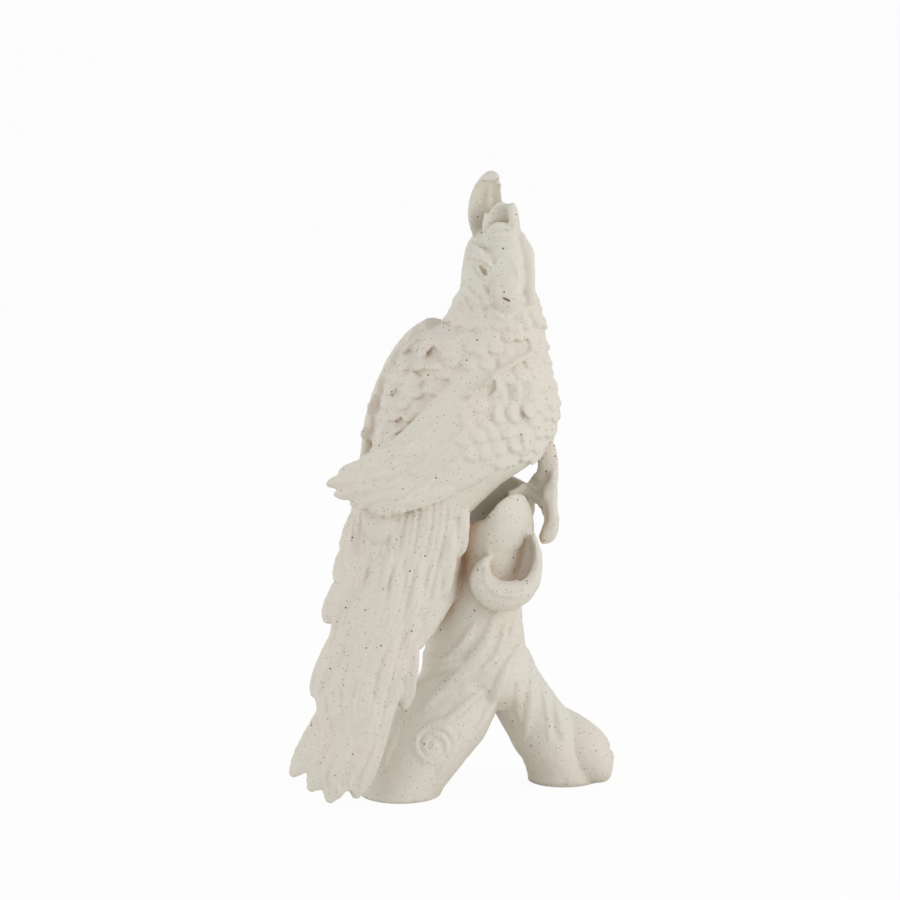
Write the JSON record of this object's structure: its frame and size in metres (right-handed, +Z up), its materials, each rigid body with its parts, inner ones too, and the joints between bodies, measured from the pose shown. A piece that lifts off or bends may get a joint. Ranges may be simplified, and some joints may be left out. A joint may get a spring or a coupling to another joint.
{
  "type": "ceramic bird ornament",
  "caption": "Crested parrot perched on a hollow tree stump with spread roots: a slip-cast, speckled stoneware ornament that stands free on its root feet.",
  "frame": {"origin": "middle of the ornament's bounding box, on the floor under its feet", "axes": "+Z up; -Y is the front, which the near wing and the tail face; +X is to the right as seen from the front"},
  "size_m": [0.1868, 0.1114, 0.3544],
  "materials": {
    "speckled_stoneware": "matt cream glaze with fine dark iron specks"
  },
  "bodies": {
    "root": {"bird_ornament": "speckled_stoneware"}
  },
  "joints": []
}
